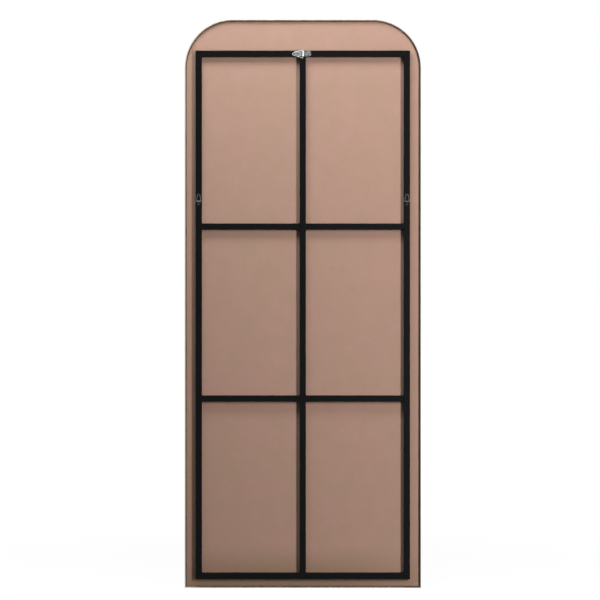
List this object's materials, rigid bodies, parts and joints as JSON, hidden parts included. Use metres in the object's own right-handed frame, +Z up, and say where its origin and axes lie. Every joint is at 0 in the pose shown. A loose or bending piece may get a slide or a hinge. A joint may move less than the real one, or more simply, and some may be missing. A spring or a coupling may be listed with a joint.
{
  "type": "full-length mirror",
  "caption": "Tall mirror with rounded upper corners in a thin metal frame, with a fibreboard back, a black tube grid behind it and swinging ring hangers.",
  "frame": {"origin": "under the middle of the frame's bottom edge, half-way through the frame's depth", "axes": "+Z up, -Y the way the glass faces, +Y the way the back faces, +X to the right seen from the front"},
  "size_m": [0.686, 0.0412, 1.651],
  "materials": {
    "frame_metal": "antique bronze satin",
    "silvered_glass": "polished",
    "foam_tape": "matt foam",
    "block_rubber": "matt",
    "fibreboard": "bare fibreboard",
    "rail_black": "satin black powder coat",
    "screw_steel": "zinc plated",
    "hanger_metal": "dull nickel plate",
    "saddle_zinc": "bright zinc plate"
  },
  "bodies": {
    "mirror": {"frame_hoop": "frame_metal", "frame_sill": "frame_metal", "glazing_tape": "foam_tape", "mirror_glass": "silvered_glass", "bonding_tape": "foam_tape", "setting_blocks": "block_rubber", "backing_board": "fibreboard", "side_rail_left": "rail_black", "side_rail_right": "rail_black", "top_rail": "rail_black", "bottom_rail": "rail_black", "centre_rail": "rail_black", "cross_rail_upper_left": "rail_black", "cross_rail_upper_right": "rail_black", "cross_rail_lower_left": "rail_black", "cross_rail_lower_right": "rail_black", "rail_screws": "screw_steel", "hanger_strap_left": "hanger_metal", "hanger_strap_right": "hanger_metal", "hanger_screw_left": "hanger_metal", "hanger_screw_right": "hanger_metal", "saddle_plate": "saddle_zinc", "saddle_screws": "saddle_zinc"},
    "left_ring": {"hanger_ring_left": "hanger_metal"},
    "right_ring": {"hanger_ring_right": "hanger_metal"},
    "top_ring": {"saddle_ring": "saddle_zinc"}
  },
  "joints": [
    {"name": "left_ring_swing", "type": "hinge", "parent": "mirror", "child": "left_ring", "pos_m": [-0.3024, 0.02408, 1.12296], "axis": [-1, 0, 0], "range_deg": [0, 165]},
    {"name": "right_ring_swing", "type": "hinge", "parent": "mirror", "child": "right_ring", "pos_m": [0.3024, 0.02408, 1.12296], "axis": [-1, 0, 0], "range_deg": [0, 165]},
    {"name": "top_ring_swing", "type": "hinge", "parent": "mirror", "child": "top_ring", "pos_m": [0, 0.0246, 1.5505], "axis": [0, 0, 1], "range_deg": [0, 180]}
  ]
}
